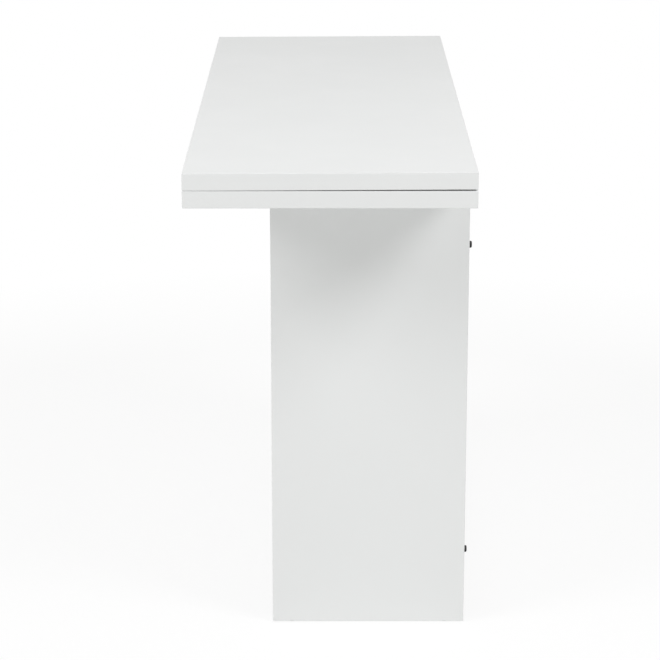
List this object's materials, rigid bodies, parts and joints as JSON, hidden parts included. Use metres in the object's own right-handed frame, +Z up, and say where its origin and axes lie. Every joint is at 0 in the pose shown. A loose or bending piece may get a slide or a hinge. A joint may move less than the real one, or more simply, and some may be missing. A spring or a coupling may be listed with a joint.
{
  "type": "swivel extending table",
  "caption": "White console table whose folded double top swivels a quarter turn on its base and unfolds on hinges to twice its width.",
  "frame": {"origin": "on the floor, under the middle of the folded top", "axes": "+X to the back, which stands against a wall; +Y along the folded top; +Z up"},
  "size_m": [0.4241, 1.2, 0.765],
  "materials": {
    "white_board": "satin",
    "white_edging": "satin",
    "nickel_steel": "satin",
    "zinc_steel": "satin",
    "cast_zinc": "matte",
    "beech": "matte",
    "white_nylon": "satin",
    "grey_felt": "matte",
    "black_rubber": "matte"
  },
  "bodies": {
    "base": {"back_panel": "white_board", "bottom_shelf": "white_board", "bottom_shelf_front_band": "white_edging", "cam_bolts": "zinc_steel", "cam_locks": "cast_zinc", "carrier_panel": "white_board", "carrier_panel_back_band": "white_edging", "carrier_panel_front_band": "white_edging", "dowels": "beech", "far_back_glide": "white_nylon", "far_end_panel": "white_board", "far_end_panel_back_band": "white_edging", "far_end_panel_front_band": "white_edging", "far_end_panel_top_band": "white_edging", "far_front_glide": "white_nylon", "far_lower_wall_bumper": "black_rubber", "far_upper_wall_bumper": "black_rubber", "glide_nails": "zinc_steel", "near_back_glide": "white_nylon", "near_end_panel": "white_board", "near_end_panel_back_band": "white_edging", "near_end_panel_front_band": "white_edging", "near_end_panel_top_band": "white_edging", "near_front_glide": "white_nylon", "near_lower_wall_bumper": "black_rubber", "near_upper_wall_bumper": "black_rubber", "pivot_bush": "white_nylon", "slide_disc": "white_nylon", "slide_pads": "grey_felt", "stop_pin": "zinc_steel"},
    "lower_top": {"far_hinge_lower_half": "nickel_steel", "far_hinge_pin": "nickel_steel", "lower_back_band": "white_edging", "lower_far_band": "white_edging", "lower_front_band": "white_edging", "lower_hinge_screws": "zinc_steel", "lower_leaf": "white_board", "lower_near_band": "white_edging", "middle_hinge_lower_half": "nickel_steel", "middle_hinge_pin": "nickel_steel", "near_hinge_lower_half": "nickel_steel", "near_hinge_pin": "nickel_steel", "pivot_bolt": "zinc_steel", "pivot_nut": "zinc_steel", "spring_washer": "zinc_steel", "swivel_plate": "zinc_steel", "swivel_plate_screws": "zinc_steel", "thrust_washer": "zinc_steel"},
    "upper_top": {"far_hinge_upper_half": "nickel_steel", "middle_hinge_upper_half": "nickel_steel", "near_hinge_upper_half": "nickel_steel", "upper_back_band": "white_edging", "upper_far_band": "white_edging", "upper_front_band": "white_edging", "upper_hinge_screws": "zinc_steel", "upper_leaf": "white_board", "upper_near_band": "white_edging"}
  },
  "joints": [
    {"name": "top_swivel", "type": "hinge", "parent": "base", "child": "lower_top", "pos_m": [0.135, -0.075, 0.7116], "axis": [0, 0, 1], "range_deg": [0, 90]},
    {"name": "leaf_fold", "type": "hinge", "parent": "lower_top", "child": "upper_top", "pos_m": [0.21025, 0, 0.7388], "axis": [0, 1, 0], "range_deg": [0, 180.29]}
  ]
}
